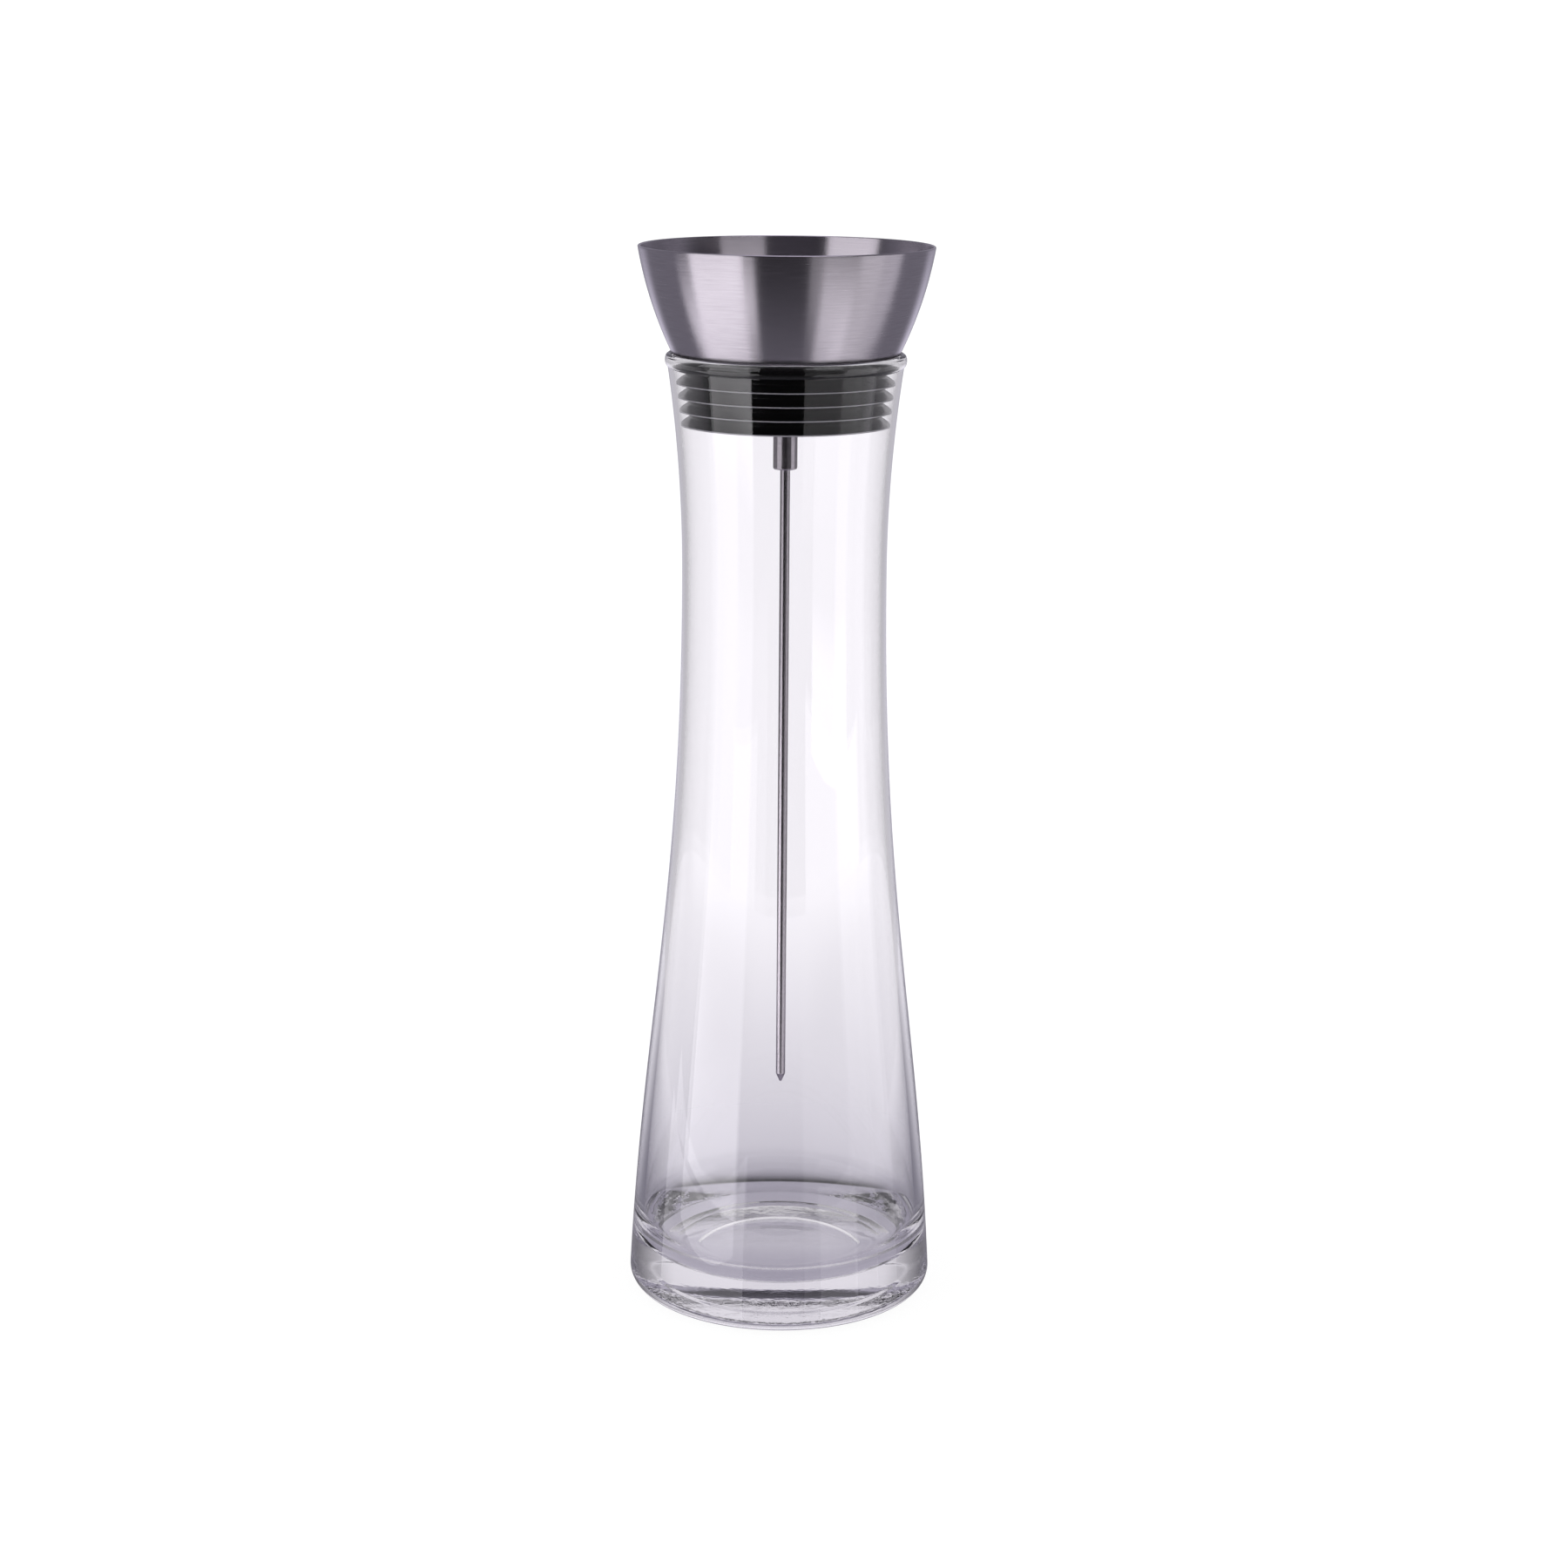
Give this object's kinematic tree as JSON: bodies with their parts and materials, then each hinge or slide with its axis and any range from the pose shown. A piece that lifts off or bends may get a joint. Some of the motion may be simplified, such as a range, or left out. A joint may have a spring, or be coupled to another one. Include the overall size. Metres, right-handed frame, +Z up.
{
  "type": "fruit infuser carafe",
  "caption": "Waisted clear glass carafe with a brushed steel pouring funnel on a lipped silicone stopper, and a long steel fruit skewer hanging inside.",
  "frame": {"origin": "centre of the glass foot, on the surface it stands on", "axes": "+Z up along the axis of the glass, +Y towards the flap's hinge, -Y the side seen in the picture"},
  "size_m": [0.0962, 0.0962, 0.33],
  "materials": {
    "glass": "clear, polished",
    "steel": "brushed around the axis",
    "steel_fittings": "plain turned",
    "silicone": "satin",
    "black_plastic": "fine moulded",
    "nylon": "plain"
  },
  "bodies": {
    "carafe": {"glass_body": "glass"},
    "stopper": {"pour_funnel": "steel", "stopper_seal": "silicone", "stopper_core": "black_plastic", "flap_seat": "black_plastic", "seat_o_ring": "silicone", "hinge_pin": "steel_fittings", "skewer_screw": "steel_fittings", "screw_seal_washer": "silicone"},
    "flap": {"flap_plate": "steel", "flap_gasket": "silicone", "flap_rivet": "steel_fittings"},
    "washer": {"ferrule_washer": "nylon"},
    "skewer": {"skewer_ferrule": "steel", "skewer_rod": "steel"}
  },
  "joints": [
    {"name": "stopper_lift", "type": "slide", "parent": "carafe", "child": "stopper", "axis": [0, 0, 1], "range_m": [0, 0.28]},
    {"name": "flap_tilt", "type": "hinge", "parent": "stopper", "child": "flap", "pos_m": [0, 0.01608, 0.3028], "axis": [-1, 0, 0], "range_deg": [0, 80]},
    {"name": "skewer_drop", "type": "slide", "parent": "stopper", "child": "washer", "axis": [0, 0, -1], "range_m": [0, 0.007]},
    {"name": "skewer_turn", "type": "hinge", "parent": "washer", "child": "skewer", "pos_m": [0, 0, 0.27], "axis": [0, 0, -1], "range_deg": [0, 3600]}
  ],
  "couplings": [
    {"joint": "skewer_turn", "follows": "skewer_drop", "rad_per_m": 8976}
  ]
}
